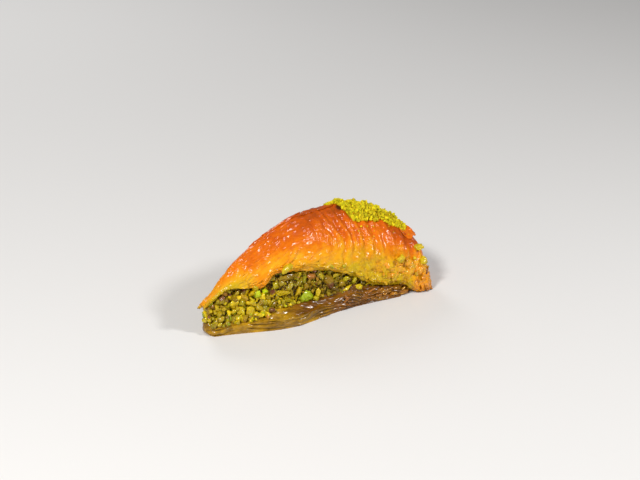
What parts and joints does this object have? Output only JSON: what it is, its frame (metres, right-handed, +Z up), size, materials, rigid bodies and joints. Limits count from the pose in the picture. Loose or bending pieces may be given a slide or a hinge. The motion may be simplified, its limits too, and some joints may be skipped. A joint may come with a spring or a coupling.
{
  "type": "baklava piece",
  "caption": "Long wedge of pistachio baklava with a puffed glazed crust, a chopped nut filling, soaked bottom leaves and ground nuts along the crest.",
  "frame": {"origin": "middle of the base on the surface that the slice stands on", "axes": "+X along the slice from its tip to its rim side, +Y towards the back cut, +Z up"},
  "size_m": [0.1309, 0.0552, 0.0524],
  "materials": {
    "soaked_leaves": "wet with syrup",
    "chopped_pistachio": "syrup-coated, satin",
    "baked_crust": "glazed with syrup, glossy",
    "ground_pistachio": "dry, matt"
  },
  "bodies": {
    "root": {"bottom_leaves": "soaked_leaves", "pistachio_filling": "chopped_pistachio", "top_crust": "baked_crust", "ground_pistachio": "ground_pistachio"}
  },
  "joints": []
}
